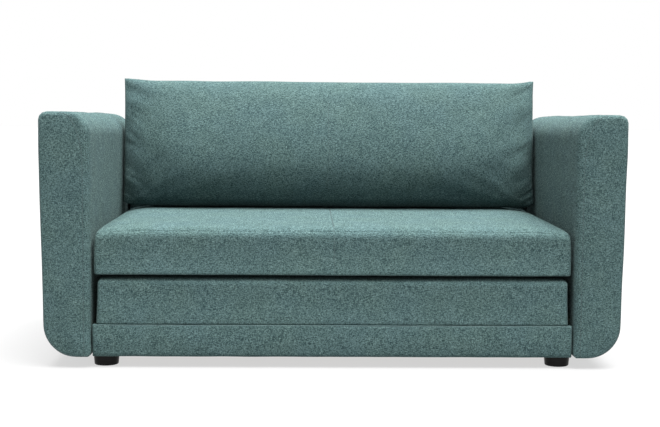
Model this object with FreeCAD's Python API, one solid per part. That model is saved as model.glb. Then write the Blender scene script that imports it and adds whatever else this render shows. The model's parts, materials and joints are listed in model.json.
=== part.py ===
import FreeCAD, Part
import math
import os

# Two-seat sofa bed with slab arms, a fold-over seat block and one loose back cushion.
# Millimetres. +Z is up, the front faces -Y, +X is the viewer's right when facing the front.
# The origin is on the floor, in the middle of the width and the depth.
# "left" and "right" are the viewer's, so left is -X.

Vec = FreeCAD.Vector
AXIS_X = Vec(1, 0, 0)
AXIS_Y = Vec(0, 1, 0)
AXIS_Z = Vec(0, 0, 1)
ORIGIN = Vec(0, 0, 0)

# overall size
half_width = 796.0
half_depth = 435.0
foot_height = 30.0

# arms
arm_top = 695.0
arm_inner = 655.0  # the arm's inner face, from the middle of the sofa
arm_flare = 10.0  # how much further out the arm's outer face is at the top than at the bottom
arm_inner_top_radius = 60.0
arm_outer_top_radius = 20.0
arm_outer_bottom_radius = 88.0
arm_inner_bottom_radius = 14.0
arm_end_radius = 12.0
arm_skin = 6.0  # fabric with its wadding

# back
back_front = 330.0
back_bottom = 60.0
back_top = 680.0
back_skin = 4.0
back_post_depth = 60.0

# hinge between the two blocks
hinge_plane = 320.0  # rear faces of the lower frame and, just in front of it, the upper block
hinge_y = 324.0
hinge_z = 249.5
leaf_thickness = 2.0
knuckle_radius = 3.6
pin_radius = 1.8
pin_clearance = 0.08
leaf_length = 90.0
leaf_gap = 4.2  # from the hinge axis to a leaf's edge where it passes the other leaf's knuckle
lower_leaf_bottom = 190.0
upper_leaf_top = 336.0
hinge_spots = (-480.0, 0.0, 480.0)
screw_radius = 2.0
screw_head_radius = 4.0
screw_head = 1.2
screw_length = 22.0
screw_spots = (-32.0, 0.0, 32.0)

# upper block, which is the seat
seat_half = 648.0
seat_front = -425.0
seat_rear = hinge_plane - 0.3
seat_bottom = 254.0
seat_top = 391.0
seat_nose = 45.0
block_edge = 16.0
block_skin = 3.0
core_bottom = 307.0
core_top = 338.0

# lower block
lower_half = 641.0
lower_front = -422.0
lower_rear = 295.0
lower_bottom = 118.0
lower_top = 245.0
lower_nose = 32.0

# pull-out carriage
rail_half = 652.0
rail_bottom = 31.0
rail_top = 117.5
rail_front = -427.0
rail_back = -405.0
rail_skin = 5.0
carriage_half = 570.0  # outer faces of the carriage's side boards
board = 24.0
slat_thickness = 10.0
slat_bottom = 108.0
slat_width = 52.0
slat_count = 9
guide_height = 18.0
guide_length = 60.0
guide_width = 30.0

# casters
wheel_radius = 25.0
wheel_width = 22.0
wheel_x = 524.0
wheel_front_y = -230.0
wheel_rear_y = 230.0
axle_radius = 4.0
axle_clearance = 0.06
cheek = 3.0
cheek_gap = 26.0
fork_top = 73.0
fork_half_length = 18.0

# carcass rails and feet
ledge_top = 106.0  # the opened seat lies just over this
ledge_inner = 601.0
ledge_height = 24.0
side_rail_bottom = 36.0
side_rail_front = -400.0
side_rail_rear = 328.0
foot_radius = 35.5
foot_bottom_radius = 33.0
foot_chamfer = 1.5
foot_x = 625.0
foot_front_y = -370.0
foot_rear_y = 382.0
bolt_radius = 4.0
bolt_clearance = 0.1
bolt_z = 60.0
bolt_spots = (-300.0, -30.0, 240.0)

# loose back cushion
cushion_half = 647.0
cushion_front = 83.0
cushion_thickness = 195.0
cushion_bottom = seat_top + 0.4
cushion_top = 786.0
cushion_lean = 48.0  # how far its top is behind its bottom
cushion_edge = 55.0
cushion_end = 40.0
cushion_skin = 3.0
zip_height = 80.0  # above the cushion's bottom, on its rear face
zip_half = 550.0
zip_tape = 1.5
zip_width = 24.0


def box(x0, x1, y0, y1, z0, z1):
    """A block between two corners."""
    return Part.makeBox(x1 - x0, y1 - y0, z1 - z0, Vec(x0, y0, z0))


def rod(radius, start, axis, length):
    """A plain round rod."""
    return Part.makeCylinder(radius, length, start, axis)


def mirrored(shape):
    """The same shape on the other side of the sofa's middle."""
    return shape.mirror(ORIGIN, AXIS_X)


def middle(edge):
    """The point halfway along an edge."""
    return edge.valueAt((edge.FirstParameter + edge.LastParameter) / 2)


def near(value, target):
    """Whether two lengths are the same."""
    return abs(value - target) < 0.01


def rounded(shape, radius, chosen):
    """The shape with a fillet on each edge whose middle point is chosen."""
    edges = [edge for edge in shape.Edges if chosen(middle(edge))]
    return shape.makeFillet(radius, edges)


def drilled(shape, holes):
    """The shape with the holes cut out of it."""
    for hole in holes:
        shape = shape.cut(hole)
    return shape


def save(node, *pieces):
    """Writes one node, as one solid or as a group of separate solids."""
    shape = pieces[0] if len(pieces) == 1 else Part.makeCompound(list(pieces))
    shape.exportStep("parts/" + node + ".step")


def save_pair(node, *pieces):
    """Writes a right-hand node and its mirrored left-hand twin."""
    save(node + "_right", *pieces)
    save(node + "_left", *[mirrored(piece) for piece in pieces])


def with_mirror(pieces):
    """The pieces and their mirrored twins."""
    return list(pieces) + [mirrored(piece) for piece in pieces]


# ---- arms


def arm_solid(inset):
    """The right arm's outer form, drawn in by an inset."""
    inner = arm_inner + inset
    low = foot_height + inset
    high = arm_top - inset
    outer = half_width - inset
    outer_low = half_width - arm_flare - inset
    corners = (Vec(inner, 0, low), Vec(outer_low, 0, low), Vec(outer, 0, high), Vec(inner, 0, high))
    face = Part.Face(Part.makePolygon(corners + (corners[0],)))
    arm = face.extrude(Vec(0, 2 * (half_depth - inset), 0))
    arm.translate(Vec(0, inset - half_depth, 0))
    radii = (arm_inner_bottom_radius, arm_outer_bottom_radius, arm_outer_top_radius, arm_inner_top_radius)
    for corner, radius in zip(corners, radii):
        arm = rounded(arm, radius - inset, lambda p: near(p.x, corner.x) and near(p.z, corner.z))
    ends = half_depth - inset
    return rounded(arm, arm_end_radius - inset, lambda p: near(abs(p.y), ends))


def arm_bolt_holes(clearance):
    """Rods where the bolts go through the side rail into the arm."""
    length = 88.0
    start = arm_inner - board
    spots = [Vec(start, y, bolt_z) for y in bolt_spots]
    return [rod(bolt_radius + clearance, spot, AXIS_X, length) for spot in spots]


def make_arms():
    """Upholstered arms: a skin, two thin panels, posts and rails, bolted to the side rails."""
    holes = arm_bolt_holes(bolt_clearance)
    panel = 8.0
    panel_inner = arm_inner + arm_skin + 0.3
    post_inner = panel_inner + panel
    post_outer = 755.0
    frame_end = 400.0
    post = 40.0
    post_bottom = 80.0
    post_top = 620.0
    skin = arm_solid(0).cut(arm_solid(arm_skin))
    save_pair("arm_cover", drilled(skin, holes))
    inner_panel = box(panel_inner, post_inner, -frame_end, frame_end, 50, post_top - 6)
    outer_panel = box(post_outer, post_outer + panel, -frame_end, frame_end, 130, post_top)
    save_pair("arm_panels", drilled(inner_panel, holes), outer_panel)
    post_starts = (-frame_end, -post / 2, frame_end - post)
    posts = [box(post_inner, post_outer, y, y + post, post_bottom, post_top) for y in post_starts]
    save_pair("arm_posts", *posts)
    bottom_rail = box(post_inner, 715, -frame_end, frame_end, 44, post_bottom)
    top_rail = box(680, post_outer, -frame_end, frame_end, post_top, post_top + 24)
    save_pair("arm_rails", drilled(bottom_rail, holes), top_rail)


def make_arm_bolts():
    """Bolts from the side rails into the arms, each with a nut on the arm's bottom rail."""
    head_height = 5.0
    head_start = arm_inner - board - head_height
    nut_x = 715.0
    bolts = []
    nuts = []
    for y in bolt_spots:
        shank = rod(bolt_radius, Vec(head_start + head_height, y, bolt_z), AXIS_X, 88)
        head = rod(9, Vec(head_start, y, bolt_z), AXIS_X, head_height)
        socket = rod(3, Vec(head_start, y, bolt_z), AXIS_X, 3)
        bolts.append(head.fuse(shank).cut(socket).removeSplitter())
        nut = rod(11, Vec(nut_x, y, bolt_z), AXIS_X, 2)
        nut = nut.fuse(rod(6, Vec(nut_x, y, bolt_z), AXIS_X, 8)).removeSplitter()
        nuts.append(nut.cut(rod(bolt_radius + bolt_clearance, Vec(nut_x - 1, y, bolt_z), AXIS_X, 10)))
    save("arm_bolts", *with_mirror(bolts))
    save("arm_nuts", *with_mirror(nuts))


# ---- back


def back_solid(inset):
    """The upholstered back's outer form, drawn in by an inset."""
    side = arm_inner - 0.5 - inset
    low = back_bottom + inset
    high = back_top - inset
    back = box(-side, side, back_front + inset, half_depth - inset, low, high)
    back = rounded(back, 26 - inset, lambda p: near(p.z, high) and near(p.x, 0))
    return rounded(back, 8 - inset, lambda p: near(p.z, low) and near(p.x, 0))


def make_back():
    """The fixed back: a skin round posts, rails, a thin rear panel and webbing."""
    side = arm_inner - 12
    rail = 50.0
    post = 45.0
    low = back_bottom + 6
    high = back_top - 30
    front = back_front + 12
    rear = front + back_post_depth
    save("back_cover", back_solid(0).cut(back_solid(back_skin)))
    rails = [box(-side, side, front, rear, z, z + rail) for z in (low, high - rail)]
    save("back_rails", *rails)
    starts = (-side, -side / 3 - post / 2, side / 3 - post / 2, side - post)
    posts = [box(x, x + post, front, rear, low + rail, high - rail) for x in starts]
    save("back_posts", *posts)
    save("back_panel", box(-side, side, rear, rear + 4, low, high))
    strap = 60.0
    strap_count = 9
    pitch = 2 * (side - 60) / (strap_count - 1)
    strap_starts = [-side + 60 - strap / 2 + pitch * i for i in range(strap_count)]
    straps = [box(x, x + strap, front - 2.5, front, low + 10, high - 10) for x in strap_starts]
    save("back_webbing", *straps)


# ---- carcass rails and feet


def make_carcass_rails():
    """Side rails and ledges inside the arms, a rear rail under the back, blocks and brackets."""
    holes = arm_bolt_holes(bolt_clearance)
    inner = arm_inner - board
    rail = box(inner, arm_inner, side_rail_front, side_rail_rear, side_rail_bottom, ledge_top)
    save_pair("side_rail", drilled(rail, holes))
    ledge_bottom = ledge_top - ledge_height
    ledge = box(ledge_inner, inner, side_rail_front, side_rail_rear, ledge_bottom, ledge_top)
    save_pair("support_batten", ledge)
    foot_holes = foot_bolt_rods(bolt_clearance)
    rear_rail = box(-650, 650, back_front, 425, foot_height, back_bottom)
    save("rear_rail", drilled(rear_rail, foot_holes))
    block = box(585, inner, side_rail_front, -340, foot_height, ledge_bottom)
    save("corner_blocks", *with_mirror([drilled(block, foot_holes)]))
    plate = 3.0
    bracket_bottom = side_rail_bottom + 2
    along_side = box(inner - plate, inner, 268, back_front, bracket_bottom, back_bottom - 2)
    along_rear = box(576, inner, back_front - plate, back_front, bracket_bottom, back_bottom - 2)
    save("back_brackets", *with_mirror([along_side.fuse(along_rear).removeSplitter()]))


def foot_bolt_rods(clearance):
    """Rods for the bolts that hold the feet, all four."""
    length = 44.0
    start = 11.0
    spots = [(x, y) for x in (-foot_x, foot_x) for y in (foot_front_y, foot_rear_y)]
    return [rod(bolt_radius + clearance, Vec(x, y, start), AXIS_Z, length) for x, y in spots]


def foot_solid():
    """A short round foot, slightly narrower at the floor."""
    low = foot_bottom_radius
    high = foot_radius
    top = foot_height
    profile = [
        Vec(0, 0, 0),
        Vec(low - foot_chamfer, 0, 0),
        Vec(low, 0, foot_chamfer),
        Vec(high, 0, top - foot_chamfer),
        Vec(high - foot_chamfer, 0, top),
        Vec(0, 0, top),
        Vec(0, 0, 0),
    ]
    return Part.Face(Part.makePolygon(profile)).revolve(ORIGIN, AXIS_Z, 360)


def make_feet():
    """Four short turned feet, each held by one bolt."""
    holes = foot_bolt_rods(bolt_clearance)
    for end, y in (("front", foot_front_y), ("rear", foot_rear_y)):
        foot = foot_solid()
        foot.translate(Vec(foot_x, y, 0))
        save_pair("foot_" + end, drilled(foot, holes))
    save("foot_bolts", *foot_bolt_rods(0))


# ---- cushion blocks


def block_solid(half, front, rear, low, high, nose, inset):
    """A soft block with a big round front top edge and smaller ones elsewhere."""
    half = half - inset
    front = front + inset
    rear = rear - inset
    low = low + inset
    high = high - inset
    nose = nose - inset
    block = box(-half, half, front, rear, low, high)
    block = rounded(block, nose, lambda p: near(p.y, front) and near(p.z, high))

    def sharp(point):
        below_nose = near(point.y, front) and near(point.z, high - nose)
        behind_nose = near(point.z, high) and near(point.y, front + nose)
        return not (below_nose or behind_nose)

    return rounded(block, block_edge - inset, sharp)


def seat_solid(inset):
    """The upper block's form, drawn in by an inset."""
    return block_solid(seat_half, seat_front, seat_rear, seat_bottom, seat_top, seat_nose, inset)


def lower_solid(inset):
    """The lower block's form, drawn in by an inset."""
    return block_solid(lower_half, lower_front, lower_rear, lower_bottom, lower_top, lower_nose, inset)


def make_seat():
    """The upper block: a skin and two foam slabs on both sides of a wooden core frame."""
    holes = hinge_screw_rods(upper_screw_z(), screw_radius + bolt_clearance)
    save("seat_cover", drilled(seat_solid(0).cut(seat_solid(block_skin)), holes))
    inside = seat_solid(block_skin + 0.3)
    wide = seat_half
    upper = inside.common(box(-wide, wide, seat_front, seat_rear, core_top, seat_top))
    lower = inside.common(box(-wide, wide, seat_front, seat_rear, seat_bottom, core_bottom))
    save("seat_foam_upper", upper)
    save("seat_foam_lower", lower)
    core_half = 620.0
    core_front = -385.0
    core_rear = seat_rear - block_skin - 0.3
    rail = 28.0
    rear_rail = box(-core_half, core_half, core_rear - rail, core_rear, core_bottom, core_top)
    front_rail = box(-core_half, core_half, core_front, core_front + rail, core_bottom, core_top)
    save("seat_frame_rails", front_rail, drilled(rear_rail, holes))
    rib = 30.0
    rib_pitch = (2 * core_half - rib) / 8
    rib_front = core_front + rail
    rib_rear = core_rear - rail
    starts = [-core_half + rib_pitch * i for i in range(9)]
    ribs = [box(x, x + rib, rib_front, rib_rear, core_bottom, core_top) for x in starts]
    save("seat_frame_ribs", *ribs)


def make_lower_block():
    """The lower block: a skin round one foam slab."""
    save("lower_cushion_cover", lower_solid(0).cut(lower_solid(block_skin)))
    save("lower_cushion_foam", lower_solid(block_skin + 0.3))


# ---- carriage


def rail_solid(inset):
    """The padded front rail's form, drawn in by an inset."""
    side = rail_half - inset
    low = rail_bottom + inset
    high = rail_top - inset
    rail = box(-side, side, rail_front + inset, rail_back - inset, low, high)
    return rounded(rail, 8 - inset, lambda p: near(p.y, rail_front + inset))


def make_carriage():
    """The pull-out frame: padded front rail, boards, slats and guide blocks."""
    save("front_rail_cover", rail_solid(0).cut(rail_solid(rail_skin)))
    save("front_rail_board", rail_solid(rail_skin + 0.3))
    inner = carriage_half - board
    rear_board_front = hinge_plane - board
    side_board = box(inner, carriage_half, rail_back, rear_board_front, side_rail_bottom, slat_bottom)
    save_pair("carriage_side", side_board)
    rear = box(-carriage_half, carriage_half, rear_board_front, hinge_plane, side_rail_bottom, slat_bottom)
    save("carriage_rear_board", rear)
    hinge_top = 241.0
    hinge_board = box(-638, 638, rear_board_front, hinge_plane, slat_bottom, hinge_top)
    lower_holes = hinge_screw_rods(lower_screw_z(), screw_radius + bolt_clearance)
    save("hinge_board", drilled(hinge_board, lower_holes))
    save("carriage_centre_beam", box(-15, 15, rail_back, rear_board_front, 60, slat_bottom))
    first = -400.0
    last = 290.0
    pitch = (last - first - slat_width) / (slat_count - 1)
    starts = [first + pitch * i for i in range(slat_count)]
    slat_top = slat_bottom + slat_thickness
    slats = [box(-636, 636, y, y + slat_width, slat_bottom, slat_top) for y in starts]
    save("carriage_slats", *slats)
    guide_bottom = 86.0
    guide_top = guide_bottom + guide_height
    guides = []
    for y in (wheel_front_y, wheel_rear_y):
        start = y - guide_length / 2
        guide = box(carriage_half, carriage_half + guide_width, start, start + guide_length, guide_bottom, guide_top)
        guides.append(guide)
    save("guide_blocks", *with_mirror(guides))


def caster_fork(y):
    """A U-shaped caster fork over one right-hand wheel, with holes for its axle."""
    inner = wheel_x - cheek_gap / 2
    outer = wheel_x + cheek_gap / 2
    front = y - fork_half_length
    rear = y + fork_half_length
    cheek_bottom = wheel_radius - 13
    top_bottom = fork_top - cheek
    top = box(inner - cheek, outer + cheek, front, rear, top_bottom, fork_top)
    cheeks = [box(x, x + cheek, front, rear, cheek_bottom, top_bottom) for x in (inner - cheek, outer)]
    fork = top.fuse(cheeks).removeSplitter()
    hole = rod(axle_radius + axle_clearance, Vec(inner - 10, y, wheel_radius), AXIS_X, cheek_gap + 20)
    return fork.cut(hole)


def caster_wheel(y):
    """A right-hand caster wheel with a bore and shallow recesses in its faces."""
    start = wheel_x - wheel_width / 2
    end = wheel_x + wheel_width / 2
    wheel = rod(wheel_radius, Vec(start, y, wheel_radius), AXIS_X, wheel_width)
    wheel = wheel.makeFillet(4, [edge for edge in wheel.Edges if edge.Closed])
    ring_outer = wheel_radius - 7
    ring_inner = 9.0
    recess = 4.0
    for x in (start, end - recess):
        ring = rod(ring_outer, Vec(x, y, wheel_radius), AXIS_X, recess)
        wheel = wheel.cut(ring.cut(rod(ring_inner, Vec(x, y, wheel_radius), AXIS_X, recess)))
    return wheel.cut(rod(axle_radius + axle_clearance, Vec(start, y, wheel_radius), AXIS_X, wheel_width))


def make_casters():
    """Four fixed casters under the carriage."""
    forks = []
    axles = []
    blocks = []
    block_inner = wheel_x - 22
    block_outer = carriage_half - board
    axle_start = wheel_x - cheek_gap / 2 - cheek - 2
    axle_length = cheek_gap + 2 * cheek + 4
    for end, y in (("front", wheel_front_y), ("rear", wheel_rear_y)):
        forks.append(caster_fork(y))
        axles.append(rod(axle_radius, Vec(axle_start, y, wheel_radius), AXIS_X, axle_length))
        blocks.append(box(block_inner, block_outer, y - 30, y + 30, fork_top, slat_bottom))
        save_pair("caster_wheel_" + end, caster_wheel(y))
    save("caster_forks", *with_mirror(forks))
    save("caster_axles", *with_mirror(axles))
    save("caster_blocks", *with_mirror(blocks))


# ---- hinges


def lower_screw_z():
    """Height of the lower leaves' screws."""
    return lower_leaf_bottom + 18


def upper_screw_z():
    """Height of the upper leaves' screws, in the middle of the seat's core frame."""
    return (core_bottom + core_top) / 2


def hinge_screw_rods(z, radius):
    """Rods for one row of hinge screws, through every hinge."""
    start = hinge_plane + leaf_thickness
    return [
        rod(radius, Vec(x + offset, start, z), Vec(0, -1, 0), screw_length)
        for x in hinge_spots
        for offset in screw_spots
    ]


def hinge_leaf(x, knuckles, z_far, screw_z):
    """One leaf with its knuckles, cut clear of the other leaf's."""
    start = x - leaf_length / 2
    third = leaf_length / 3
    low = min(z_far, hinge_z)
    high = max(z_far, hinge_z)
    leaf = box(start, start + leaf_length, hinge_plane, hinge_plane + leaf_thickness, low, high)
    axis_point = Vec(start - 1, hinge_y, hinge_z)
    side_play = 0.4
    for index in range(3):
        if index not in knuckles:
            room_start = start + third * index - side_play
            room = rod(leaf_gap + 1, Vec(room_start, hinge_y, hinge_z), AXIS_X, third + 2 * side_play)
            leaf = leaf.cut(room)
    for index in knuckles:
        begin = start + third * index
        leaf = leaf.fuse(rod(knuckle_radius, Vec(begin, hinge_y, hinge_z), AXIS_X, third))
    leaf = leaf.removeSplitter()
    leaf = leaf.cut(rod(pin_radius + pin_clearance, axis_point, AXIS_X, leaf_length + 2))
    hole = screw_radius + bolt_clearance
    return drilled(leaf, hinge_screw_rods(screw_z, hole))


def hinge_screws(z):
    """One row of screws with flat round heads."""
    start = hinge_plane + leaf_thickness
    screws = []
    for x in hinge_spots:
        for offset in screw_spots:
            shank = rod(screw_radius, Vec(x + offset, start, z), Vec(0, -1, 0), screw_length)
            head = rod(screw_head_radius, Vec(x + offset, start, z), AXIS_Y, screw_head)
            screws.append(shank.fuse(head).removeSplitter())
    return screws


def make_hinges():
    """Three hinges behind the blocks, so that the upper one folds over backwards."""
    lower = [hinge_leaf(x, (0, 2), lower_leaf_bottom, lower_screw_z()) for x in hinge_spots]
    upper = [hinge_leaf(x, (1,), upper_leaf_top, upper_screw_z()) for x in hinge_spots]
    pin_length = leaf_length - 1
    pins = []
    for x in hinge_spots:
        pins.append(rod(pin_radius, Vec(x - pin_length / 2, hinge_y, hinge_z), AXIS_X, pin_length))
    save("hinge_leaves_lower", *lower)
    save("hinge_leaves_upper", *upper)
    save("hinge_pins", *pins)
    save("hinge_screws_lower", *hinge_screws(lower_screw_z()))
    save("hinge_screws_upper", *hinge_screws(upper_screw_z()))


# ---- loose back cushion


def cushion_solid(inset):
    """The loose back cushion's form, leaning back a little, drawn in by an inset."""
    low = cushion_bottom + inset
    high = cushion_top - inset
    front = cushion_front + inset
    rear = cushion_front + cushion_thickness - inset
    half = cushion_half - inset
    corners = (
        Vec(-half, front, low),
        Vec(-half, rear, low),
        Vec(-half, rear + cushion_lean, high),
        Vec(-half, front + cushion_lean, high),
    )
    face = Part.Face(Part.makePolygon(corners + (corners[0],)))
    cushion = face.extrude(Vec(2 * half, 0, 0))
    cushion = rounded(cushion, cushion_edge - inset, lambda p: near(p.x, 0))
    return rounded(cushion, cushion_end - inset, lambda p: near(abs(p.x), half))


def on_rear_face(shape, height):
    """Puts a piece made at the origin, facing +Y, on the cushion's leaning rear face."""
    rise = cushion_top - cushion_bottom
    lean_angle = math.degrees(math.atan2(cushion_lean, rise))
    shape.rotate(ORIGIN, AXIS_X, -lean_angle)
    y = cushion_front + cushion_thickness + cushion_lean * height / rise
    shape.translate(Vec(0, y, cushion_bottom + height))
    return shape


def make_back_cushion():
    """The loose cushion: a skin round its filling, with a zip across its rear face."""
    save("back_cushion_cover", cushion_solid(0).cut(cushion_solid(cushion_skin)))
    save("back_cushion_fill", cushion_solid(cushion_skin + 0.3))
    tape = box(-zip_half, zip_half, 0.1, 0.1 + zip_tape, -zip_width / 2, zip_width / 2)
    save("zip_tape", on_rear_face(tape, zip_height))
    slider_x = zip_half - 20
    gap = 0.1 + zip_tape + 0.3
    body = box(slider_x - 5, slider_x + 5, gap, gap + 4, -7, 7)
    bail = box(slider_x - 1.5, slider_x + 1.5, gap + 4, gap + 6, -8, 4)
    tab = box(slider_x - 4, slider_x + 4, gap + 4, gap + 5.5, -38, -8)
    slider = body.fuse([bail, tab]).removeSplitter()
    save("zip_slider", on_rear_face(slider, zip_height))


make_arms()
make_arm_bolts()
make_back()
make_carcass_rails()
make_feet()
make_seat()
make_lower_block()
make_carriage()
make_casters()
make_hinges()
make_back_cushion()
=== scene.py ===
import json
import math

import bmesh
import bpy
import numpy as np
from mathutils import Matrix, Vector, noise
from mathutils.bvhtree import BVHTree
from mathutils.kdtree import KDTree


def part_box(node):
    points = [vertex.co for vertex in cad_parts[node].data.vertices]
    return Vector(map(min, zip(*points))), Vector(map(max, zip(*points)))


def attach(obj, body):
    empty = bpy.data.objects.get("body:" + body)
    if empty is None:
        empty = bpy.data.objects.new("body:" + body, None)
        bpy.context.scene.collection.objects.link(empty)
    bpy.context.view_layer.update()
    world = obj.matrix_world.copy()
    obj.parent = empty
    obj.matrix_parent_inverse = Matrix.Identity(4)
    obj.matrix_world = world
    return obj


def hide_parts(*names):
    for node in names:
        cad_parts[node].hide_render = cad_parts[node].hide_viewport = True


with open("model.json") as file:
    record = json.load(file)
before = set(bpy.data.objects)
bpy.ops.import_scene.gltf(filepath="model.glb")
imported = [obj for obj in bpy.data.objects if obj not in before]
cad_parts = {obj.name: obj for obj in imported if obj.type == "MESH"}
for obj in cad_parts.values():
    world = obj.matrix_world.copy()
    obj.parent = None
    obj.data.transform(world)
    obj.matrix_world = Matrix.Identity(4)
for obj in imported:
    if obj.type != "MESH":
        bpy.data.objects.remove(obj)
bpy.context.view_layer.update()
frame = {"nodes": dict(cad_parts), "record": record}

# Metres. +Z is up, the sofa's front faces -Y.
MM = 0.001
SIDES = {"right": 1.0, "left": -1.0}

MERGE_DISTANCE = 0.05 * MM
ARC_STEPS = 16  # in a rounded corner of an outline
FINEST_GRID = 2.5 * MM  # the grid's spacing at the edges of a block
GRID_GROWTH = 1.25  # from one grid spacing to the next


# ---- shape helpers


def make_object(name, points, faces):
    """A smooth-shaded mesh object from points and faces, its doubled points merged."""
    mesh = bpy.data.meshes.new(name)
    mesh.from_pydata([tuple(p) for p in points], [], faces)
    bm = bmesh.new()
    bm.from_mesh(mesh)
    bmesh.ops.remove_doubles(bm, verts=bm.verts, dist=MERGE_DISTANCE)
    bmesh.ops.recalc_face_normals(bm, faces=bm.faces)
    for face in bm.faces:
        face.smooth = True
    bm.to_mesh(mesh)
    bm.free()
    piece = bpy.data.objects.new(name, mesh)
    bpy.context.scene.collection.objects.link(piece)
    return piece


def get_points(piece):
    """The piece's vertices as an array."""
    flat = np.empty(len(piece.data.vertices) * 3)
    piece.data.vertices.foreach_get("co", flat)
    return flat.reshape(-1, 3)


def get_normals(piece):
    """The piece's vertex normals as an array."""
    flat = np.empty(len(piece.data.vertices) * 3)
    piece.data.vertices.foreach_get("normal", flat)
    return flat.reshape(-1, 3)


def set_points(piece, points):
    """Moves the piece's vertices."""
    piece.data.vertices.foreach_set("co", np.asarray(points).ravel())
    piece.data.update()


def join_rings(rings):
    """Faces between rings of equal length, each ring closed on itself."""
    count = len(rings[0])
    faces = []
    for level in range(len(rings) - 1):
        for i in range(count):
            j = (i + 1) % count
            a = level * count
            b = a + count
            faces.append((a + i, a + j, b + j, b + i))
    return np.vstack(rings), faces


def smooth_step(t):
    """A smooth ramp from 0 to 1."""
    t = np.clip(t, 0, 1)
    return t * t * (3 - 2 * t)


def rough(points, size, seed):
    """Smooth noise from about -1 to 1 at each point, with features of the given size."""
    shift = Vector((seed * 7.3, seed * 3.1, seed * 5.7))
    return np.array([noise.noise(Vector(p) / size + shift) for p in points])


def rounded_outline(corners, radii, spacing):
    """Evenly spaced points round a polygon with rounded corners, anticlockwise."""
    dense = []
    count = len(corners)
    for i in range(count):
        here = np.array(corners[i])
        before = np.array(corners[i - 1]) - here
        after = np.array(corners[(i + 1) % count]) - here
        before = before / np.linalg.norm(before)
        after = after / np.linalg.norm(after)
        half = math.acos(np.clip(before @ after, -1, 1)) / 2
        towards_middle = (before + after) / np.linalg.norm(before + after)
        middle = here + towards_middle * radii[i] / math.sin(half)
        start = here + before * radii[i] / math.tan(half) - middle
        sweep = math.pi - 2 * half
        for step in range(ARC_STEPS + 1):
            angle = sweep * step / ARC_STEPS
            turn = np.array([[math.cos(angle), -math.sin(angle)], [math.sin(angle), math.cos(angle)]])
            dense.append(middle + turn @ start)
    dense = np.array(dense + [dense[0]])
    lengths = np.concatenate([[0], np.cumsum(np.linalg.norm(np.diff(dense, axis=0), axis=1))])
    total = int(lengths[-1] / spacing)
    wanted = np.linspace(0, lengths[-1], total, endpoint=False)
    return np.column_stack([np.interp(wanted, lengths, dense[:, k]) for k in (0, 1)])


def grid_lines(low, high, spacing):
    """Places of grid lines along one side of a block, closer together near its edges."""
    half = (high - low) / 2
    lines = [0.0]
    step = FINEST_GRID
    while lines[-1] + step < half:
        lines.append(lines[-1] + step)
        step = min(step * GRID_GROWTH, spacing)
    lines = [line * half / lines[-1] for line in lines]
    return [low + line for line in lines] + [high - line for line in reversed(lines[:-1])]


def soft_block(name, low, high, radius, spacing):
    """A closed block with slightly rounded edges and an even grid of faces."""
    lines = [grid_lines(low[k], high[k], spacing) for k in range(3)]
    points = []
    faces = []
    for axis in range(3):
        across, up = [k for k in range(3) if k != axis]
        for end in (lines[axis][0], lines[axis][-1]):
            base = len(points)
            for a in lines[across]:
                for b in lines[up]:
                    p = [0, 0, 0]
                    p[axis] = end
                    p[across] = a
                    p[up] = b
                    points.append(p)
            rows = len(lines[up])
            for i in range(len(lines[across]) - 1):
                for j in range(rows - 1):
                    corner = base + i * rows + j
                    faces.append((corner, corner + 1, corner + rows + 1, corner + rows))
    points = np.array(points, float)
    core = np.clip(points, np.array(low) + radius, np.array(high) - radius)
    away = points - core
    length = np.linalg.norm(away, axis=1, keepdims=True)
    reach = np.abs(away).max(axis=1, keepdims=True)
    points = core + away / np.maximum(length, 1e-9) * reach
    return make_object(name, points, faces)


def round_edge(points, low, high, first, second, radius):
    """Rounds the edge where two sides of a block meet; a side is its axis and -1 or 1."""
    reach = []
    for axis, sign in (first, second):
        place = high[axis] if sign > 0 else low[axis]
        reach.append((points[:, axis] - place) * sign + radius)
    inside = (reach[0] > 0) & (reach[1] > 0)
    share = np.maximum(reach[0], reach[1]) / np.maximum(np.hypot(reach[0], reach[1]), 1e-9)
    for (axis, sign), distance in zip((first, second), reach):
        place = high[axis] if sign > 0 else low[axis]
        points[inside, axis] = (place + sign * (distance * share - radius))[inside]


def tube(name, path, radius):
    """A thin round tube along a path of points, closed at both ends."""
    sides = 6
    off_axis = Vector((0.31, 0.52, 0.79))  # a direction that no seam runs along
    path = [Vector(p) for p in path]
    turns = [2 * math.pi * k / sides for k in range(sides)]
    rings = [[path[0]] * sides]
    for i, here in enumerate(path):
        before = path[max(i - 1, 0)]
        after = path[min(i + 1, len(path) - 1)]
        along = (after - before).normalized()
        side = along.cross(off_axis).normalized()
        up = along.cross(side)
        rings.append([here + (side * math.cos(t) + up * math.sin(t)) * radius for t in turns])
    rings.append([path[-1]] * sides)
    points, faces = join_rings([np.array([tuple(p) for p in ring]) for ring in rings])
    return make_object(name, points, faces)


# ---- soft pieces

CLOTH_FRAMES = 20
SEAM_SPACING = 4 * MM  # between the points along a seam


def spread(piece, field, rounds):
    """A field over the piece's vertices, averaged with its neighbours' a number of times."""
    edges = np.empty(len(piece.data.edges) * 2, int)
    piece.data.edges.foreach_get("vertices", edges)
    first, second = edges.reshape(-1, 2).T
    size = len(field)
    count = np.bincount(edges, minlength=size)[:, None]
    for _ in range(rounds):
        total = np.empty((size, 3))
        for k in range(3):
            total[:, k] = np.bincount(first, field[second, k], size)
            total[:, k] += np.bincount(second, field[first, k], size)
        field = (field + total / count) / 2
    return field


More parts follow.
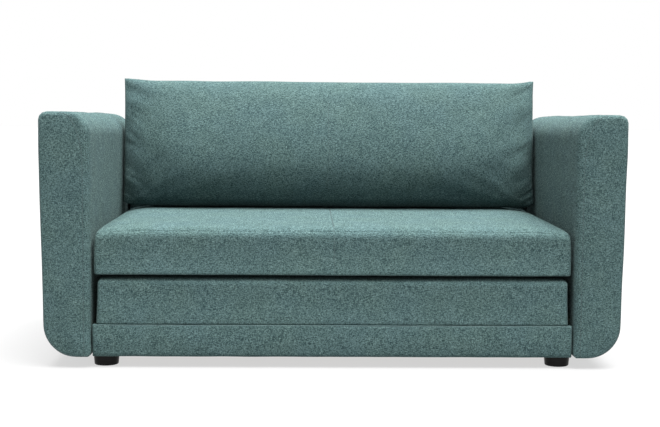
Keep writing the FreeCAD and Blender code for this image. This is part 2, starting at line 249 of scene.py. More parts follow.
def inflate(piece, pressure, cap, hold, rounds):
    """Blows a soft piece up a little as cloth, with its wrinkles spread out and its swelling limited."""
    start = get_points(piece)
    group = piece.vertex_groups.new(name="hold")
    weights = hold(start)
    for i in np.nonzero(weights > 0.01)[0]:
        group.add([int(i)], float(weights[i]), "REPLACE")
    cloth = piece.modifiers.new("cloth", "CLOTH")
    settings = cloth.settings
    settings.use_pressure = True
    settings.uniform_pressure_force = pressure
    settings.effector_weights.gravity = 0
    settings.quality = 4
    settings.mass = 0.3
    settings.tension_stiffness = 15
    settings.compression_stiffness = 15
    settings.shear_stiffness = 5
    settings.bending_stiffness = 0.5
    settings.vertex_group_mass = "hold"
    scene = bpy.context.scene
    for number in range(1, CLOTH_FRAMES + 1):
        scene.frame_set(number)
    depsgraph = bpy.context.evaluated_depsgraph_get()
    swollen = piece.evaluated_get(depsgraph).data
    flat = np.empty(len(swollen.vertices) * 3)
    swollen.vertices.foreach_get("co", flat)
    moved = spread(piece, flat.reshape(-1, 3) - start, rounds)
    piece.modifiers.remove(cloth)
    scene.frame_set(1)
    length = np.linalg.norm(moved, axis=1, keepdims=True)
    limited = np.tanh(length / cap) * cap
    set_points(piece, start + moved / np.maximum(length, 1e-9) * limited)


def apply_modifiers(piece):
    """Replaces the piece's mesh with what its modifiers make of it."""
    depsgraph = bpy.context.evaluated_depsgraph_get()
    mesh = bpy.data.meshes.new_from_object(piece.evaluated_get(depsgraph), depsgraph=depsgraph)
    piece.modifiers.clear()
    piece.data = mesh
    for polygon in mesh.polygons:
        polygon.use_smooth = True


def subdivide(piece):
    """Adds one level of smooth subdivision and applies it."""
    modifier = piece.modifiers.new("subdivision", "SUBSURF")
    modifier.levels = 1
    modifier.render_levels = 1
    apply_modifiers(piece)


def press_groove(piece, path, depth, width):
    """Pulls the surface in along a seam's path."""
    tree = KDTree(len(path))
    for i, p in enumerate(path):
        tree.insert(p, i)
    tree.balance()
    points = get_points(piece)
    normals = get_normals(piece)
    away = np.array([tree.find(p)[2] for p in points])
    set_points(piece, points - normals * (depth * np.exp(-((away / width) ** 2)))[:, None])


def onto_surface(piece, path):
    """The path, resampled evenly and moved to the nearest points of the piece."""
    path = np.array([tuple(p) for p in path])
    lengths = np.concatenate([[0], np.cumsum(np.linalg.norm(np.diff(path, axis=0), axis=1))])
    wanted = np.linspace(0, lengths[-1], max(2, int(lengths[-1] / SEAM_SPACING)))
    path = np.column_stack([np.interp(wanted, lengths, path[:, k]) for k in range(3)])
    tree = BVHTree.FromObject(piece, bpy.context.evaluated_depsgraph_get())
    return [tree.find_nearest(Vector(p))[0] for p in path]


def sew(piece, name, path, body, thread, depth, width):
    """A seam: a groove in the piece, with a thin line of stitching lying in it, its dark colour painted
    shade of the seam's fold.
    """
    bpy.context.view_layer.update()
    press_groove(piece, onto_surface(piece, path), depth, width)
    bpy.context.view_layer.update()
    line = tube(name, onto_surface(piece, path), thread)
    finish_piece(line, stitching_and_painted_shade, body)


def finish_piece(piece, material, body, replaced=()):
    """Gives a piece its material and body, and hides the CAD nodes that it replaces."""
    piece.data.materials.clear()
    piece.data.materials.append(material)
    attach(piece, body)
    if replaced:
        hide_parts(*replaced)


# ---- materials


def new_material(name):
    """An empty node material with its shader."""
    material = bpy.data.materials.new(name)
    material.use_nodes = True
    tree = material.node_tree
    return material, tree, tree.nodes["Principled BSDF"]


def add_node(tree, kind, **values):
    """A node with some of its inputs or settings filled in."""
    node = tree.nodes.new(kind)
    for key, value in values.items():
        if hasattr(node, key):
            setattr(node, key, value)
        else:
            node.inputs[key.replace("_", " ")].default_value = value
    return node


def noise_texture(tree, coordinates, stretch, detail=2.0, roughness=0.5):
    """Noise over the object's own coordinates, finer along the axes with a larger stretch."""
    mapping = add_node(tree, "ShaderNodeMapping", Scale=stretch)
    texture = add_node(tree, "ShaderNodeTexNoise", Scale=1.0, Detail=detail, Roughness=roughness)
    tree.links.new(coordinates, mapping.inputs["Vector"])
    tree.links.new(mapping.outputs["Vector"], texture.inputs["Vector"])
    return texture.outputs["Fac"]


def math_node(tree, operation, first, second):
    """One arithmetic step; each operand is a socket or a number."""
    node = add_node(tree, "ShaderNodeMath", operation=operation)
    for socket, operand in zip(node.inputs, (first, second)):
        if isinstance(operand, (int, float)):
            socket.default_value = operand
        else:
            tree.links.new(operand, socket)
    return node.outputs[0]


def ramp_node(tree, factor, stops):
    """A colour ramp with the given places and colours."""
    ramp = add_node(tree, "ShaderNodeValToRGB")
    elements = ramp.color_ramp.elements
    while len(elements) < len(stops):
        elements.new(0.5)
    for element, (place, colour) in zip(elements, stops):
        element.position = place
        element.color = (*colour, 1)
    tree.links.new(factor, ramp.inputs["Fac"])
    return ramp.outputs["Color"]


def set_bump(tree, shader, height, strength, distance):
    """Feeds a height into the shader as bump."""
    bump = add_node(tree, "ShaderNodeBump", Strength=strength, Distance=distance)
    tree.links.new(height, bump.inputs["Height"])
    tree.links.new(bump.outputs["Normal"], shader.inputs["Normal"])


def yarn_noises(tree, place, pitches, lengths):
    """Noises drawn out along x, y and z, so that every face shows threads both ways."""
    noises = []
    for axis in range(3):
        stretch = [1 / pitches[axis]] * 3
        stretch[axis] = 1 / lengths[axis]
        noises.append(noise_texture(tree, place, stretch, 1.0, 0.5))
    return noises


def sum_of(tree, sockets, weights):
    """The weighted sum of some sockets."""
    total = math_node(tree, "MULTIPLY", sockets[0], weights[0])
    for socket, weight in zip(sockets[1:], weights[1:]):
        total = math_node(tree, "ADD", total, math_node(tree, "MULTIPLY", socket, weight))
    return total


# Sizes of the weave's light and dark slubs and of its threads, in x, y and z.
LONG_SLUB_PITCHES = (1.2 * MM, 1.7 * MM, 1.2 * MM)
LONG_SLUB_LENGTHS = (7 * MM, 20 * MM, 7 * MM)
SHORT_SLUB_PITCHES = (0.9 * MM, 0.9 * MM, 0.9 * MM)
SHORT_SLUB_LENGTHS = (2 * MM, 6 * MM, 2 * MM)
THREAD_PITCHES = (0.9 * MM, 0.9 * MM, 0.9 * MM)
THREAD_LENGTHS = (3.3 * MM, 3.3 * MM, 3.3 * MM)
SLUB_WEIGHTS = (0.29, 0.25, 0.23, 0.17, 0.15, 0.17, 0.05)  # the last one is for faint clouds
RELIEF_WEIGHTS = (0.4, 0.4, 0.4, 1.0)  # the threads along x, y and z, and the slubs
SLUB_CONTRAST = 0.1  # from the middle of the slubs' range to the darkest and the lightest yarn
CLOUD_STRETCH = (26, 26, 26)
DRIFT_STRETCH = (9, 9, 9)
GREENER = (1.0, 1.0, 0.97)
BLUER = (0.97, 0.985, 1.0)


def melange_fabric(name, dark, middle, light):
    """A two-tone tweedy weave: light and dark slubs in the weft and the warp."""
    material, tree, shader = new_material(name)
    place = add_node(tree, "ShaderNodeTexCoord").outputs["Object"]
    slubs = yarn_noises(tree, place, LONG_SLUB_PITCHES, LONG_SLUB_LENGTHS)
    slubs += yarn_noises(tree, place, SHORT_SLUB_PITCHES, SHORT_SLUB_LENGTHS)
    slubs.append(noise_texture(tree, place, CLOUD_STRETCH, 3.0, 0.6))
    yarns = sum_of(tree, slubs, SLUB_WEIGHTS)
    level = sum(SLUB_WEIGHTS) / 2
    stops = [(level - SLUB_CONTRAST, dark), (level, middle), (level + SLUB_CONTRAST, light)]
    # the dye drifts slightly between a greener and a bluer teal
    drift = noise_texture(tree, place, DRIFT_STRETCH, 2.0, 0.5)
    tint = ramp_node(tree, drift, [(0.35, GREENER), (0.65, BLUER)])
    mix = add_node(tree, "ShaderNodeMixRGB", blend_type="MULTIPLY", Fac=1.0)
    tree.links.new(ramp_node(tree, yarns, stops), mix.inputs["Color1"])
    tree.links.new(tint, mix.inputs["Color2"])
    tree.links.new(mix.outputs["Color"], shader.inputs["Base Color"])
    threads = yarn_noises(tree, place, THREAD_PITCHES, THREAD_LENGTHS)
    height = sum_of(tree, threads + [yarns], RELIEF_WEIGHTS)
    set_bump(tree, shader, height, 0.3, 1 * MM)
    shader.inputs["Roughness"].default_value = 0.95
    shader.inputs["Specular IOR Level"].default_value = 0.06
    shader.inputs["Sheen Weight"].default_value = 0.03
    shader.inputs["Sheen Roughness"].default_value = 0.5
    shader.inputs["Sheen Tint"].default_value = (0.7, 0.92, 0.9, 1)
    return material


def lining_fabric(name, colour):
    """A thin plain woven lining."""
    material, tree, shader = new_material(name)
    place = add_node(tree, "ShaderNodeTexCoord").outputs["Object"]
    weave = noise_texture(tree, place, (700, 700, 900), 2.0, 0.6)
    lighter = tuple(min(1, c * 1.8 + 0.01) for c in colour)
    tree.links.new(ramp_node(tree, weave, [(0.3, colour), (0.7, lighter)]), shader.inputs["Base Color"])
    set_bump(tree, shader, weave, 0.4, 0.6 * MM)
    shader.inputs["Roughness"].default_value = 0.9
    return material


def wood(name, dark, light, along):
    """Sawn softwood with grain along one axis."""
    material, tree, shader = new_material(name)
    place = add_node(tree, "ShaderNodeTexCoord").outputs["Object"]
    stretch = [90.0, 90.0, 90.0]
    stretch["xyz".index(along)] = 4.0
    grain = noise_texture(tree, place, stretch, 5.0, 0.65)
    pores = noise_texture(tree, place, [s * 7 for s in stretch], 2.0, 0.6)
    tree.links.new(ramp_node(tree, grain, [(0.32, dark), (0.68, light)]), shader.inputs["Base Color"])
    height = math_node(tree, "ADD", grain, math_node(tree, "MULTIPLY", pores, 0.5))
    set_bump(tree, shader, height, 0.3, 0.8 * MM)
    shader.inputs["Roughness"].default_value = 0.62
    return material


def black_lacquer(name):
    """Black stained and lacquered wood, with a little grain showing in its gloss."""
    material, tree, shader = new_material(name)
    place = add_node(tree, "ShaderNodeTexCoord").outputs["Object"]
    grain = noise_texture(tree, place, (60, 60, 420), 4.0, 0.6)
    stops = [(0.3, (0.003, 0.003, 0.003)), (0.7, (0.008, 0.008, 0.008))]
    tree.links.new(ramp_node(tree, grain, stops), shader.inputs["Base Color"])
    gloss = math_node(tree, "ADD", math_node(tree, "MULTIPLY", grain, 0.25), 0.22)
    tree.links.new(gloss, shader.inputs["Roughness"])
    shader.inputs["Specular IOR Level"].default_value = 0.12
    set_bump(tree, shader, grain, 0.15, 0.5 * MM)
    return material


def steel(name, colour, roughness):
    """Rolled or plated steel with fine scratches."""
    material, tree, shader = new_material(name)
    place = add_node(tree, "ShaderNodeTexCoord").outputs["Object"]
    scratches = noise_texture(tree, place, (60, 900, 900), 3.0, 0.6)
    darker = tuple(c * 0.72 for c in colour)
    tree.links.new(ramp_node(tree, scratches, [(0.35, darker), (0.65, colour)]), shader.inputs["Base Color"])
    shine = math_node(tree, "ADD", math_node(tree, "MULTIPLY", scratches, 0.2), roughness)
    tree.links.new(shine, shader.inputs["Roughness"])
    shader.inputs["Metallic"].default_value = 1.0
    set_bump(tree, shader, scratches, 0.08, 0.3 * MM)
    return material


def moulded_plastic(name, colour):
    """Dark moulded plastic with a fine grained surface."""
    material, tree, shader = new_material(name)
    place = add_node(tree, "ShaderNodeTexCoord").outputs["Object"]
    texture = noise_texture(tree, place, (900, 900, 900), 2.0, 0.6)
    lighter = tuple(c * 1.6 for c in colour)
    tree.links.new(ramp_node(tree, texture, [(0.35, colour), (0.7, lighter)]), shader.inputs["Base Color"])
    shader.inputs["Roughness"].default_value = 0.45
    set_bump(tree, shader, texture, 0.2, 0.4 * MM)
    return material


def foam(name):
    """Cream upholstery foam."""
    material, tree, shader = new_material(name)
    place = add_node(tree, "ShaderNodeTexCoord").outputs["Object"]
    cells = noise_texture(tree, place, (600, 600, 600), 3.0, 0.7)
    stops = [(0.3, (0.55, 0.48, 0.30)), (0.7, (0.78, 0.72, 0.55))]
    tree.links.new(ramp_node(tree, cells, stops), shader.inputs["Base Color"])
    set_bump(tree, shader, cells, 0.5, 1 * MM)
    shader.inputs["Roughness"].default_value = 0.95
    return material


TEAL_DARK = (0.009, 0.019, 0.020)
TEAL_MIDDLE = (0.038, 0.068, 0.069)
TEAL_LIGHT = (0.108, 0.164, 0.160)
PINE_DARK = (0.36, 0.21, 0.10)
PINE_LIGHT = (0.62, 0.42, 0.23)

fabric = melange_fabric("sofa_fabric", TEAL_DARK, TEAL_MIDDLE, TEAL_LIGHT)
# the stitching is real thread, but its colour, darker than the cloth, is painted shade of the seam's groove
stitching_and_painted_shade = lining_fabric("seam_thread_painted_shade", (0.018, 0.033, 0.034))
lining = lining_fabric("black_lining", (0.010, 0.010, 0.011))
pine = wood("pine", PINE_DARK, PINE_LIGHT, "y")
pine_across = wood("pine_across", PINE_DARK, PINE_LIGHT, "x")
pine_upright = wood("pine_upright", PINE_DARK, PINE_LIGHT, "z")
lacquer = black_lacquer("black_lacquer")
bracket_steel = steel("bracket_steel", (0.52, 0.52, 0.53), 0.3)
zinc = steel("zinc_plate", (0.66, 0.65, 0.62), 0.25)
dark_metal = steel("dark_metal", (0.16, 0.16, 0.17), 0.3)
plastic = moulded_plastic("black_plastic", (0.012, 0.012, 0.013))
cream_foam = foam("cream_foam")

# Wooden nodes whose grain runs across the sofa or upwards; in the others it runs from front to rear.
ACROSS = (
    "carriage_slats",
    "rear_rail",
    "back_rails",
    "seat_frame_rails",
    "carriage_rear_board",
    "hinge_board",
    "front_rail_board",
)
UPRIGHT = ("back_posts", "arm_posts_left", "arm_posts_right", "back_panel")


def dress_cad_nodes():
    """Gives every CAD node a procedural material, by its slot in the record."""
    by_slot = {
        "sofa_fabric": fabric,
        "foam": cream_foam,
        "webbing": lining,
        "foot_black": lacquer,
        "steel": bracket_steel,
        "zinc_screws": zinc,
        "black_plastic": plastic,
        "zip_metal": dark_metal,
    }
    slots = {part["node"]: part["material_slot"] for part in frame["record"]["subparts"]}
    for name, node in frame["nodes"].items():
        if slots[name] != "frame_wood":
            material = by_slot[slots[name]]
        elif name in ACROSS:
            material = pine_across
        else:
            material = pine_upright if name in UPRIGHT else pine
        node.data.materials.clear()
        node.data.materials.append(material)


# ---- arms

ARM_SPACING = 11 * MM
ARM_RADII = (6 * MM, 88 * MM, 22 * MM, 60 * MM)  # inner bottom, outer bottom, outer top, inner top
ARM_SPINE_BOTTOM = 74 * MM  # from its bottom to the line that its end panels close on
ARM_SPINE_TOP = 72 * MM  # from its top to that line
ARM_EDGE_STEPS = 7  # rings round the edge of an end panel
ARM_PANEL_SHARES = np.linspace(0.06, 1.0, 11)  # rings across an end panel
ARM_WALL_RINGS = 66
ARM_CROWN = 3 * MM  # how far its end panels stand out
ARM_UNEVENNESS = 1.2 * MM
ARM_PUFF = 5 * MM  # how far its inner face swells
ARM_PUFF_BOTTOM = 300 * MM
ARM_PUFF_TOP = 620 * MM
ARM_FLARE = 10 * MM
ARM_SINK = 16 * MM  # how far its top falls at the inner rear corner
ARM_SET_BACK = 4 * MM  # how much its inner face gives way to the seat
ARM_EDGE = 5 * MM  # how softly its outer front edge turns
ARM_INNER_EDGE = 14 * MM  # how much more softly its inner front edge turns
ARM_SEAM = 18 * MM  # the seam's distance from the inner face
ARM_SEAM_TURN = (60 * MM, 150 * MM)  # how wide and high the seam's curve to the top is
ARM_SEAM_STEPS = 12


def arm_outline(low, high, inner, outer):
    """The arm's outline across the sofa as (x, z) points, from its inner bottom corner outwards."""
    corners = [(inner, low.z), (outer - ARM_FLARE, low.z), (outer, high.z), (inner, high.z)]
    return rounded_outline(corners, ARM_RADII, ARM_SPACING)


def make_arm(side_name):
    """One arm: a wrapped band with a panel at each end, and a seam over its inner front edge."""
    side = SIDES[side_name]
    node = "arm_cover_" + side_name
    low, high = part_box(node)
    inner = min(abs(low.x), abs(high.x)) + ARM_SET_BACK
    outer = max(abs(low.x), abs(high.x))
    outline = arm_outline(low, high, inner, outer)
    middle = (inner + outer - ARM_FLARE / 2) / 2
    spine_heights = np.clip(outline[:, 1], low.z + ARM_SPINE_BOTTOM, high.z - ARM_SPINE_TOP)
    spine = np.column_stack([np.full(len(outline), middle), spine_heights])
    reach = np.linalg.norm(spine - outline, axis=1)
    # the inner and top edges turn more softly than the outer one
    inwards = smooth_step((middle - outline[:, 0]) / (middle - inner))
    inwards *= smooth_step((outline[:, 1] - low.z) / (50 * MM))
    upwards = smooth_step(1 + (outline[:, 1] - high.z) / (120 * MM))
    band = ARM_EDGE + ARM_INNER_EDGE * np.maximum(inwards, 0.6 * upwards)

    def ring(inset, y):
        """The outline, drawn in towards the spine, at the depth y."""
        share = np.minimum(inset / reach, 1.0)[:, None]
        flat = outline + (spine - outline) * share
        depth = np.broadcast_to(y, (len(outline),))
        return np.column_stack([flat[:, 0] * side, depth, flat[:, 1]])

    def end_rings(edge, inwards_y):
        """Rings from the side wall, round the edge and across the panel."""
        rings = []
        for step in range(1, ARM_EDGE_STEPS + 1):
            angle = math.pi / 2 * step / ARM_EDGE_STEPS
            y = edge + inwards_y * band * (1 - math.sin(angle))
            rings.append(ring(band * (1 - math.cos(angle)), y))
        for share in ARM_PANEL_SHARES:
            crown = ARM_CROWN * (1 - (1 - share) ** 2)
            rings.append(ring(band + (reach - band) * share, edge - inwards_y * crown))
        return rings

    widest = band.max()
    wall = np.linspace(low.y + widest, high.y - widest, ARM_WALL_RINGS)
    rings = list(reversed(end_rings(low.y, 1.0)))
    rings += [ring(np.zeros(len(outline)), y) for y in wall]
    rings += end_rings(high.y, -1.0)
    points, faces = join_rings(rings)
    arm = make_object("arm_" + side_name, points, faces)
    points = get_points(arm)
    # the inner face is padded, so it swells a little towards the seat
    along = np.sin(np.clip((points[:, 1] - low.y) / (high.y - low.y), 0, 1) * math.pi) ** 0.6
    upper = smooth_step((points[:, 2] - ARM_PUFF_BOTTOM) / (200 * MM))
    upper *= 1 - smooth_step((points[:, 2] - ARM_PUFF_TOP) / (80 * MM))
    near_inner = smooth_step(1 + (inner - np.abs(points[:, 0])) / (30 * MM))
    points[:, 0] -= side * ARM_PUFF * along * upper * near_inner
    # the top sinks towards the rear, most at its inner edge
    rearwards = smooth_step((points[:, 1] - low.y) / (750 * MM))
    near_top = np.clip(1 + (points[:, 2] - high.z) / (200 * MM), 0, 1)
    inner_half = smooth_step((outer - 10 * MM - np.abs(points[:, 0])) / (100 * MM))
    points[:, 2] -= near_top * (ARM_SINK * rearwards * (0.6 + 0.4 * inner_half))
    normals = get_normals(arm)
    points += normals * (rough(points, 110 * MM, 3 + side) * ARM_UNEVENNESS)[:, None]
    set_points(arm, points)
    finish_piece(arm, fabric, "carcass", (node,))
    sew_arm(arm, side_name, outline, inner, middle, low, high)


def sew_arm(arm, side_name, outline, inner, middle, low, high):
    """The arm's seams: one over its inner edge, and one round the outer edge of each end panel."""
    side = SIDES[side_name]
    # the inner seam runs up the front, over the top and down the rear
    wide, tall = ARM_SEAM_TURN
    start = inner + ARM_SEAM
    rise = [(start, low.z + 4 * MM)]
    for angle in np.linspace(0, math.pi / 2, ARM_SEAM_STEPS + 1):
        rise.append((start + wide * (1 - math.cos(angle)), high.z + tall * (math.sin(angle) - 1)))
    path = [(x * side, low.y, z) for x, z in rise]
    path += [(x * side, high.y, z) for x, z in reversed(rise)]
    sew(arm, "arm_inner_seam_" + side_name, path, "carcass", 0.6 * MM, 0.9 * MM, 4 * MM)
    # the outer seam follows the panel's outer and bottom edges
    outer_side = []
    for x, z in outline:
        near_floor = z < 100 * MM
        if inner + 30 * MM < x and z < high.z - 30 * MM and (x > middle or near_floor):
            outer_side.append((x - 3 * MM, z + 2 * MM * near_floor))
    for name, y in (("front", low.y), ("rear", high.y)):
        path = [(x * side, y, z) for x, z in outer_side]
        sew(arm, f"arm_{name}_seam_{side_name}", path, "carcass", 0.7 * MM, 0.6 * MM, 3 * MM)


# ---- back

BACK_TOP_RADIUS = 26 * MM
BACK_SWELL = 3 * MM
BACK_UNEVENNESS = 1.2 * MM
BACK_SEAM_INSET = 22 * MM  # from the edges of its rear face


def make_back():
    """The fixed back: a low padded wall between the arms, with a seam round its rear face."""
    low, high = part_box("back_cover")
    back = soft_block("back", low, high, 10 * MM, 16 * MM)
    points = get_points(back)
    round_edge(points, low, high, (1, -1), (2, 1), BACK_TOP_RADIUS)
    round_edge(points, low, high, (1, 1), (2, 1), BACK_TOP_RADIUS)
    share = np.clip((points - np.array(low)) / np.array(high - low), 0, 1)
    swell = np.sin(share[:, 0] * math.pi) ** 0.4 * np.sin(share[:, 2] * math.pi) ** 0.5
    set_points(back, points)
    normals = get_normals(back)
    points[:, 1] += normals[:, 1] * swell * BACK_SWELL
    points += normals * (rough(points, 140 * MM, 9) * BACK_UNEVENNESS)[:, None]
    set_points(back, points)
    finish_piece(back, fabric, "carcass", ("back_cover",))
    left = low.x + BACK_SEAM_INSET
    right = high.x - BACK_SEAM_INSET
    top = high.z - BACK_SEAM_INSET
    bottom = low.z + BACK_SEAM_INSET
    y = high.y
    path = [(left, y, bottom), (left, y, top), (right, y, top), (right, y, bottom), (left, y, bottom)]
    sew(back, "back_rear_seam", path, "carcass", 0.8 * MM, 1.8 * MM, 5 * MM)


# ---- seat blocks

BLOCK_SMOOTHING = 60  # rounds, which keep the blocks' fronts flat
BLOCK_UNEVENNESS = 0.9 * MM

SEAT_GRID = 11 * MM
SEAT_CORNER_RADIUS = 12 * MM
SEAT_SIDE_RADIUS = 8 * MM
SEAT_FRONT_RADIUS = 26 * MM
SEAT_SIDE_FALL = 9 * MM  # how far its crown falls at the sides
SEAT_FRONT_FALL = 5 * MM
SEAT_BULGE = 4 * MM

LOWER_GRID = 12 * MM
LOWER_CORNER_RADIUS = 10 * MM
LOWER_SIDE_RADIUS = 12 * MM
LOWER_FRONT_RADIUS = 14 * MM


def swell_block(piece, low, pressure, cap, wrinkle_seed):
    """Inflates a seat block that rests on its flat underside, and makes its surface a little uneven."""

    def underside_hold(points):
        """Holds the underside; the hold fades out just above it."""
        return 0.95 * smooth_step((low.z + 30 * MM - points[:, 2]) / (25 * MM))

    inflate(piece, pressure, cap, underside_hold, BLOCK_SMOOTHING)
    subdivide(piece)
    points = get_points(piece)
    points += get_normals(piece) * (rough(points, 100 * MM, wrinkle_seed) * BLOCK_UNEVENNESS)[:, None]
    points[:, 2] = np.maximum(points[:, 2], low.z)
    set_points(piece, points)


def make_seat():
    """The upper block: crowned, with a rounded front and a seam down its middle."""
    # a little wider than its CAD solid, to fill the arms' opening, and lower, so that it can swell
    cad_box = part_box("seat_cover")
    low = cad_box[0] + Vector((-3, 3, 0)) * MM
    high = cad_box[1] - Vector((-3, 1, 6)) * MM
    seat = soft_block("seat", low, high, 5 * MM, SEAT_GRID)
    points = get_points(seat)
    for side in (-1, 1):
        round_edge(points, low, high, (0, side), (1, -1), SEAT_CORNER_RADIUS)
        round_edge(points, low, high, (0, side), (2, 1), SEAT_SIDE_RADIUS)
    round_edge(points, low, high, (1, -1), (2, 1), SEAT_FRONT_RADIUS)
    height = (points[:, 2] - low.z) / (high.z - low.z)
    from_front = points[:, 1] - low.y
    from_side = high.x - np.abs(points[:, 0])
    # the crown falls away towards the sides and the front
    fall = SEAT_SIDE_FALL * np.clip(1 - from_side / (130 * MM), 0, 1) ** 2
    fall += SEAT_FRONT_FALL * np.clip(1 - from_front / (120 * MM), 0, 1) ** 2
    points[:, 2] -= height ** 2 * fall
    # its front corners bulge outwards at half height
    bulge = SEAT_BULGE * np.sin(np.clip(height, 0, 1) * math.pi)
    bulge *= np.exp(-((from_front / (90 * MM)) ** 2)) * np.clip(1 - from_side / (100 * MM), 0, 1)
    points[:, 0] += np.sign(points[:, 0]) * bulge
    set_points(seat, points)
    swell_block(seat, low, 1.5, 5 * MM, 21)
    finish_piece(seat, fabric, "seat", ("seat_cover", "seat_foam_upper", "seat_foam_lower"))
    # the seam's path runs just outside the block, over its top and down its front
    above = high.z + 20 * MM
    ahead = low.y - 20 * MM
    path = [(0, high.y - 20 * MM, above), (0, low.y + 30 * MM, above)]
    path += [(0, ahead, high.z - 50 * MM), (0, ahead, low.z + 10 * MM)]
    sew(seat, "seat_middle_seam", path, "seat", 0.5 * MM, 0.8 * MM, 5 * MM)


def make_lower_block():
    """The lower block: a plainer slab whose front runs down into the rail."""
    # a little wider than its CAD solid, and lower, as the upper block is
    cad_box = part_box("lower_cushion_cover")
    low = cad_box[0] + Vector((-5, 0, 0)) * MM
    high = cad_box[1] - Vector((-5, 3, 2)) * MM
    block = soft_block("lower_block", low, high, 3 * MM, LOWER_GRID)
    points = get_points(block)
    for side in (-1, 1):
        round_edge(points, low, high, (0, side), (1, -1), LOWER_CORNER_RADIUS)
        round_edge(points, low, high, (0, side), (2, 1), LOWER_SIDE_RADIUS)
    round_edge(points, low, high, (1, -1), (2, 1), LOWER_FRONT_RADIUS)
    set_points(block, points)
    swell_block(block, low, 1.2, 4 * MM, 33)
    finish_piece(block, fabric, "carriage", ("lower_cushion_cover", "lower_cushion_foam"))


RAIL_GRID = 11 * MM
RAIL_RADIUS = 8 * MM
RAIL_SWELL = 2 * MM
RAIL_UNEVENNESS = 0.7 * MM


def make_front_rail():
    """The padded rail across the front, level with the lower block and sewn to its edge."""
    # a little wider than its CAD solid, and set back, so that its front can swell
    cad_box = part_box("front_rail_cover")
    low = cad_box[0] + Vector((-4, 1, -1.5)) * MM
    high = cad_box[1] + Vector((4, 0, 0)) * MM
    rail = soft_block("front_rail", low, high, 3 * MM, RAIL_GRID)
    points = get_points(rail)
    for side in (-1, 1):
        round_edge(points, low, high, (0, side), (1, -1), RAIL_RADIUS)
    round_edge(points, low, high, (1, -1), (2, -1), RAIL_RADIUS)
    set_points(rail, points)
    normals = get_normals(rail)
    height = np.clip((points[:, 2] - low.z) / (high.z - low.z), 0, 1)
    points[:, 1] += np.minimum(normals[:, 1], 0) * np.sin(height * math.pi) * RAIL_SWELL
    points += normals * (rough(points, 80 * MM, 41) * RAIL_UNEVENNESS)[:, None]
    set_points(rail, points)
    finish_piece(rail, fabric, "carriage", ("front_rail_cover",))
    edge = [(low.x + 6 * MM, low.y, high.z - 1 * MM), (high.x - 6 * MM, low.y, high.z - 1 * MM)]
    sew(rail, "rail_top_seam", edge, "carriage", 0.8 * MM, 0.3 * MM, 2 * MM)


# ---- loose back cushion

CUSHION_COLUMNS = 141
CUSHION_ROWS = 53
CUSHION_OVER = 7 * MM  # how much wider it is than its CAD solid, on each side
CUSHION_RAISE = 4 * MM  # how far its top edge stands above its CAD solid's
CUSHION_EAR = 7 * MM  # how much higher its top corners are
CUSHION_PINCH = 3 * MM  # how far its sides pull in between the corners
CUSHION_LIFT = 16 * MM  # how far its bottom corners are rounded off
CUSHION_LEAN = 48 * MM  # how much further back its top is than its bottom
CUSHION_BELLY = -0.22  # where it is fullest, from -1 at its bottom to 1 at its top
CUSHION_RIDGE = 3.5 * MM  # the height of the fine puckers
CUSHION_FOLD = 5 * MM  # the height of the broad folds
CUSHION_UNEVENNESS = 2.0 * MM


def crowded_line(count, share):
    """Places from -1 to 1, closer together near both ends."""
    even = np.linspace(-1, 1, count)
    return np.sin(even * math.pi / 2) * share + even * (1 - share)


def cushion_depth(v):
    """How far the front sheet stands out, as a share of its most, from its bottom to its top."""
    top = 1 - 0.66 * (np.maximum(v - CUSHION_BELLY, 0) / (1 - CUSHION_BELLY)) ** 1.9
    bottom = 1 - 0.64 * (np.maximum(CUSHION_BELLY - v, 0) / (1 + CUSHION_BELLY)) ** 2.4
    closing_top = np.clip((v - 0.90) / 0.10, 0, 1)
    closing_bottom = np.clip((-v - 0.86) / 0.14, 0, 1)
    return top * bottom * np.sqrt(1 - np.maximum(closing_top, closing_bottom) ** 2)


def cushion_sheet(u, v, low, high, facing):
    """A point of the cushion's front or rear sheet, for u and v from -1 to 1."""
    half_width = (high.x - low.x) / 2 + CUSHION_OVER
    half_height = (high.z - low.z) / 2
    half_depth = (high.y - low.y - CUSHION_LEAN) / 2
    # the sides and top pull in between the corners, which stay pointed
    x = u * (half_width - CUSHION_PINCH * (1 - v ** 4))
    from_side = 1 - np.abs(u)
    ear = (CUSHION_RAISE + CUSHION_EAR * np.exp(-from_side / 0.06)) * smooth_step((v - 0.3) / 0.7)
    lift = CUSHION_LIFT * np.exp(-from_side / 0.035) * smooth_step((-v - 0.5) / 0.5)
    z = (low.z + high.z) / 2 + v * half_height + ear + lift
    fullness = (1 - np.abs(u) ** 8) ** 0.6 * cushion_depth(v)
    middle_y = low.y + half_depth + CUSHION_LEAN * (v + 1) / 2
    return np.column_stack([x, middle_y - facing * half_depth * fullness, z])


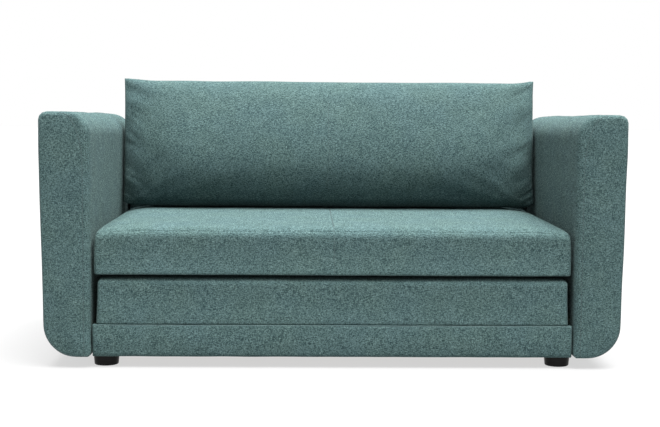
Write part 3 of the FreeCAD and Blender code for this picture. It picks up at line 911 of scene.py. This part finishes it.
def make_back_cushion():
    """The long loose cushion: two sheets sewn together, well filled, with puckered sides."""
    low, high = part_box("back_cushion_cover")
    columns = crowded_line(CUSHION_COLUMNS, 0.5)
    rows = crowded_line(CUSHION_ROWS, 0.6)
    u, v = [g.ravel() for g in np.meshgrid(columns, rows, indexing="ij")]
    sheets = np.vstack([cushion_sheet(u, v, low, high, facing) for facing in (1.0, -1.0)])
    count = len(rows)
    faces = []
    for base in (0, len(u)):
        for i in range(len(columns) - 1):
            for j in range(count - 1):
                a = base + i * count + j
                faces.append((a, a + 1, a + count + 1, a + count))
    cushion = make_object("back_cushion", sheets, faces)
    rim = np.maximum(np.abs(u), np.abs(v))
    held = KDTree(len(rim) * 2)
    for i, p in enumerate(sheets):
        held.insert(p, i)
    held.balance()

    def seam_hold(points):
        """Holds the sewn rim, where the two sheets meet."""
        nearest = [held.find(p)[1] % len(rim) for p in points]
        return 0.97 * smooth_step((rim[nearest] - 0.97) / 0.03)

    inflate(cushion, 2.0, 7 * MM, seam_hold, 4)
    subdivide(cushion)
    points = get_points(cushion)
    normals = get_normals(cushion)
    # puckers run in from the side seams
    from_side = (high.x - low.x) / 2 - np.abs(points[:, 0])
    slanted = points * np.array([0.15, 0.3, 1.0])
    slanted[:, 2] -= 0.6 * np.abs(points[:, 0])
    ridges = rough(slanted, 19 * MM, 55) * np.exp(-((from_side / (45 * MM)) ** 2))
    folds = rough((slanted + points) / 2, 50 * MM, 57) * np.exp(-((from_side / (100 * MM)) ** 2))
    patches = smooth_step(rough(points, 90 * MM, 61) + 0.6)
    puckers = CUSHION_RIDGE * ridges * patches + CUSHION_FOLD * folds
    puckers *= smooth_step((from_side + 6 * MM) / (16 * MM))
    soft = rough(points, 160 * MM, 59) * CUSHION_UNEVENNESS
    points += normals * (puckers + soft)[:, None]
    # it stands on the seat, so its underside is flat
    points[:, 2] = np.maximum(points[:, 2], low.z + 0.5 * MM)
    set_points(cushion, points)
    finish_piece(cushion, fabric, "back_cushion", ("back_cushion_cover", "back_cushion_fill"))
    front_y = low.y - 30 * MM
    path = [(0, front_y, low.z + 30 * MM), (0, front_y + CUSHION_LEAN / 2, high.z - 20 * MM)]
    sew(cushion, "cushion_middle_seam", path, "back_cushion", 0.45 * MM, 0.7 * MM, 4 * MM)


# ---- stage

FLOOR_HALF_SIZE = 30.0
FLOOR_GREY = (0.10, 0.10, 0.10, 1)
FLOOR_GLOW = 0.62
KEY_ENERGY = 14.0
KEY_ANGLE = math.radians(55)  # how broad the light is in the sky
KEY_DIRECTION = Vector((0.16, -0.12, 1.0))


def make_floor():
    """A large plain pale floor that glows faintly, like a lit studio sweep."""
    size = FLOOR_HALF_SIZE
    below = -0.5 * MM
    points = [(-size, -size, below), (size, -size, below), (size, size, below), (-size, size, below)]
    floor = make_object("floor", points, [(0, 1, 2, 3)])
    material, tree, shader = new_material("pale_floor")
    shader.inputs["Base Color"].default_value = FLOOR_GREY
    shader.inputs["Roughness"].default_value = 0.9
    shader.inputs["Specular IOR Level"].default_value = 0.0
    shader.inputs["Emission Color"].default_value = (1, 1, 1, 1)
    shader.inputs["Emission Strength"].default_value = FLOOR_GLOW
    floor.data.materials.append(material)


def make_lights():
    """A broad soft light from above and a little to the right, in a white surround."""
    data = bpy.data.lights.new("key", "SUN")
    data.energy = KEY_ENERGY
    data.angle = KEY_ANGLE
    light = bpy.data.objects.new("key", data)
    bpy.context.scene.collection.objects.link(light)
    light.rotation_euler = KEY_DIRECTION.to_track_quat("Z", "Y").to_euler()
    world = bpy.data.worlds.new("studio")
    world.use_nodes = True
    background = world.node_tree.nodes["Background"]
    background.inputs["Color"].default_value = (1.0, 1.0, 1.0, 1)
    background.inputs["Strength"].default_value = 1.0
    bpy.context.scene.world = world


def make_camera():
    """A straight-on view, slightly from above."""
    place = Vector((-0.088, -3.899, 0.726))
    turn = math.radians(1.27)  # to the right
    dip = math.radians(4.96)  # downwards
    roll = math.radians(0.42)  # clockwise
    forward = Vector((math.sin(turn) * math.cos(dip), math.cos(turn) * math.cos(dip), -math.sin(dip)))
    right = Vector((math.cos(turn), -math.sin(turn), 0))
    up = right.cross(forward)
    rolled_right = right * math.cos(roll) + up * math.sin(roll)
    rolled_up = up * math.cos(roll) - right * math.sin(roll)
    data = bpy.data.cameras.new("camera")
    data.sensor_width = 36.0
    data.lens = 70.25
    camera = bpy.data.objects.new("camera", data)
    bpy.context.scene.collection.objects.link(camera)
    basis = Matrix((rolled_right, rolled_up, -forward)).transposed().to_4x4()
    camera.matrix_world = Matrix.Translation(place) @ basis
    bpy.context.scene.camera = camera


bpy.context.scene.view_settings.view_transform = "Standard"
make_camera()
make_floor()
make_lights()
dress_cad_nodes()
for side_name in SIDES:
    make_arm(side_name)
make_back()
make_seat()
make_lower_block()
make_front_rail()
make_back_cushion()
